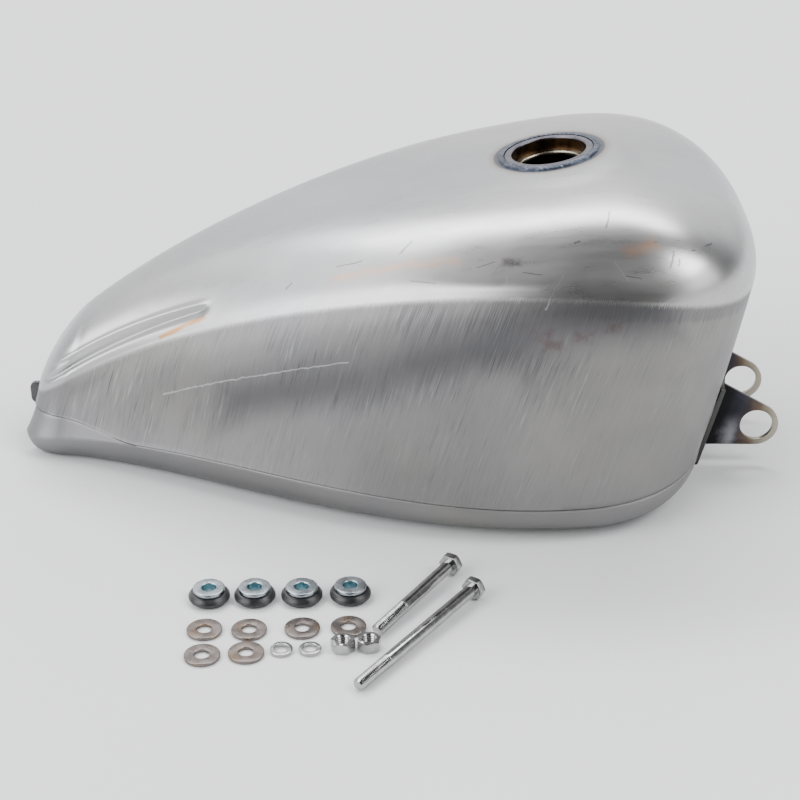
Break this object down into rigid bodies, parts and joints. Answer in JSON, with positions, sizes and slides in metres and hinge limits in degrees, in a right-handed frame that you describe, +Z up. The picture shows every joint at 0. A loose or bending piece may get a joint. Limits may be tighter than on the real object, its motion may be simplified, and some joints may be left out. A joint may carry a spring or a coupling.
{
  "type": "motorcycle fuel tank",
  "caption": "Bare steel teardrop motorcycle fuel tank with an open filler neck, frame tunnel, mounting ears and a loose kit of rubber mounts, washers, nuts and bolts.",
  "frame": {"origin": "middle of the footprint of everything, tank and loose kit together, on the floor", "axes": "+X towards the front of the motorcycle along the tank, +Y to its left, +Z up; the loose kit lies on the right, at -Y"},
  "size_m": [0.5182, 0.4512, 0.2155],
  "materials": {
    "raw_steel": "bare drawn steel with fine vertical draw marks, oiled",
    "neck_steel": "turned steel with a thin brown varnish",
    "weld": "blue-grey weld bead",
    "heat_tinted_steel": "heat-tinted plate, blue-black at the weld and straw at the rim",
    "black_steel": "gloss black",
    "zinc": "blue-white zinc plate, satin",
    "washer_steel": "satin with a faint brown tint",
    "bright_steel": "bright plated",
    "rubber": "semi-gloss moulded rubber"
  },
  "bodies": {
    "tank": {"upper_shell": "raw_steel", "bottom_pan_right": "raw_steel", "bottom_pan_left": "raw_steel", "tunnel": "raw_steel", "filler_neck": "neck_steel", "filler_weld": "weld", "petcock_bung": "neck_steel", "front_ear_right": "heat_tinted_steel", "front_ear_left": "heat_tinted_steel", "front_ear_weld_right": "weld", "front_ear_weld_left": "weld", "rear_mount_bracket": "black_steel"},
    "rubber_mount_1": {"rubber_mount_1": "rubber"},
    "rubber_mount_2": {"rubber_mount_2": "rubber"},
    "rubber_mount_3": {"rubber_mount_3": "rubber"},
    "rubber_mount_4": {"rubber_mount_4": "rubber"},
    "flat_washer_1": {"flat_washer_1": "washer_steel"},
    "flat_washer_2": {"flat_washer_2": "washer_steel"},
    "flat_washer_3": {"flat_washer_3": "washer_steel"},
    "flat_washer_4": {"flat_washer_4": "washer_steel"},
    "flat_washer_5": {"flat_washer_5": "washer_steel"},
    "flat_washer_6": {"flat_washer_6": "washer_steel"},
    "lock_washer_1": {"lock_washer_1": "bright_steel"},
    "lock_washer_2": {"lock_washer_2": "bright_steel"},
    "hex_nut_1": {"hex_nut_1": "bright_steel"},
    "hex_nut_2": {"hex_nut_2": "bright_steel"},
    "short_bolt": {"short_bolt": "bright_steel"},
    "long_bolt": {"long_bolt": "bright_steel"},
    "flanged_bush_1": {"flanged_bush_1": "zinc"},
    "flanged_bush_2": {"flanged_bush_2": "zinc"},
    "flanged_bush_3": {"flanged_bush_3": "zinc"},
    "flanged_bush_4": {"flanged_bush_4": "zinc"}
  },
  "joints": [
    {"name": "lift_rubber_mount_1", "type": "slide", "parent": "tank", "child": "rubber_mount_1", "axis": [0, 0, 1], "range_m": [0, 0.12]},
    {"name": "lift_rubber_mount_2", "type": "slide", "parent": "tank", "child": "rubber_mount_2", "axis": [0, 0, 1], "range_m": [0, 0.12]},
    {"name": "lift_rubber_mount_3", "type": "slide", "parent": "tank", "child": "rubber_mount_3", "axis": [0, 0, 1], "range_m": [0, 0.12]},
    {"name": "lift_rubber_mount_4", "type": "slide", "parent": "tank", "child": "rubber_mount_4", "axis": [0, 0, 1], "range_m": [0, 0.12]},
    {"name": "lift_flat_washer_1", "type": "slide", "parent": "tank", "child": "flat_washer_1", "axis": [0, 0, 1], "range_m": [0, 0.12]},
    {"name": "lift_flat_washer_2", "type": "slide", "parent": "tank", "child": "flat_washer_2", "axis": [0, 0, 1], "range_m": [0, 0.12]},
    {"name": "lift_flat_washer_3", "type": "slide", "parent": "tank", "child": "flat_washer_3", "axis": [0, 0, 1], "range_m": [0, 0.12]},
    {"name": "lift_flat_washer_4", "type": "slide", "parent": "tank", "child": "flat_washer_4", "axis": [0, 0, 1], "range_m": [0, 0.12]},
    {"name": "lift_flat_washer_5", "type": "slide", "parent": "tank", "child": "flat_washer_5", "axis": [0, 0, 1], "range_m": [0, 0.12]},
    {"name": "lift_flat_washer_6", "type": "slide", "parent": "tank", "child": "flat_washer_6", "axis": [0, 0, 1], "range_m": [0, 0.12]},
    {"name": "lift_lock_washer_1", "type": "slide", "parent": "tank", "child": "lock_washer_1", "axis": [0, 0, 1], "range_m": [0, 0.12]},
    {"name": "lift_lock_washer_2", "type": "slide", "parent": "tank", "child": "lock_washer_2", "axis": [0, 0, 1], "range_m": [0, 0.12]},
    {"name": "lift_hex_nut_1", "type": "slide", "parent": "tank", "child": "hex_nut_1", "axis": [0, 0, 1], "range_m": [0, 0.12]},
    {"name": "lift_hex_nut_2", "type": "slide", "parent": "tank", "child": "hex_nut_2", "axis": [0, 0, 1], "range_m": [0, 0.12]},
    {"name": "lift_short_bolt", "type": "slide", "parent": "tank", "child": "short_bolt", "axis": [0, 0, 1], "range_m": [0, 0.12]},
    {"name": "lift_long_bolt", "type": "slide", "parent": "tank", "child": "long_bolt", "axis": [0, 0, 1], "range_m": [0, 0.12]},
    {"name": "pull_flanged_bush_1", "type": "slide", "parent": "rubber_mount_1", "child": "flanged_bush_1", "axis": [0, 0, 1], "range_m": [0, 0.04]},
    {"name": "pull_flanged_bush_2", "type": "slide", "parent": "rubber_mount_2", "child": "flanged_bush_2", "axis": [0, 0, 1], "range_m": [0, 0.04]},
    {"name": "pull_flanged_bush_3", "type": "slide", "parent": "rubber_mount_3", "child": "flanged_bush_3", "axis": [0, 0, 1], "range_m": [0, 0.04]},
    {"name": "pull_flanged_bush_4", "type": "slide", "parent": "rubber_mount_4", "child": "flanged_bush_4", "axis": [0, 0, 1], "range_m": [0, 0.04]}
  ]
}
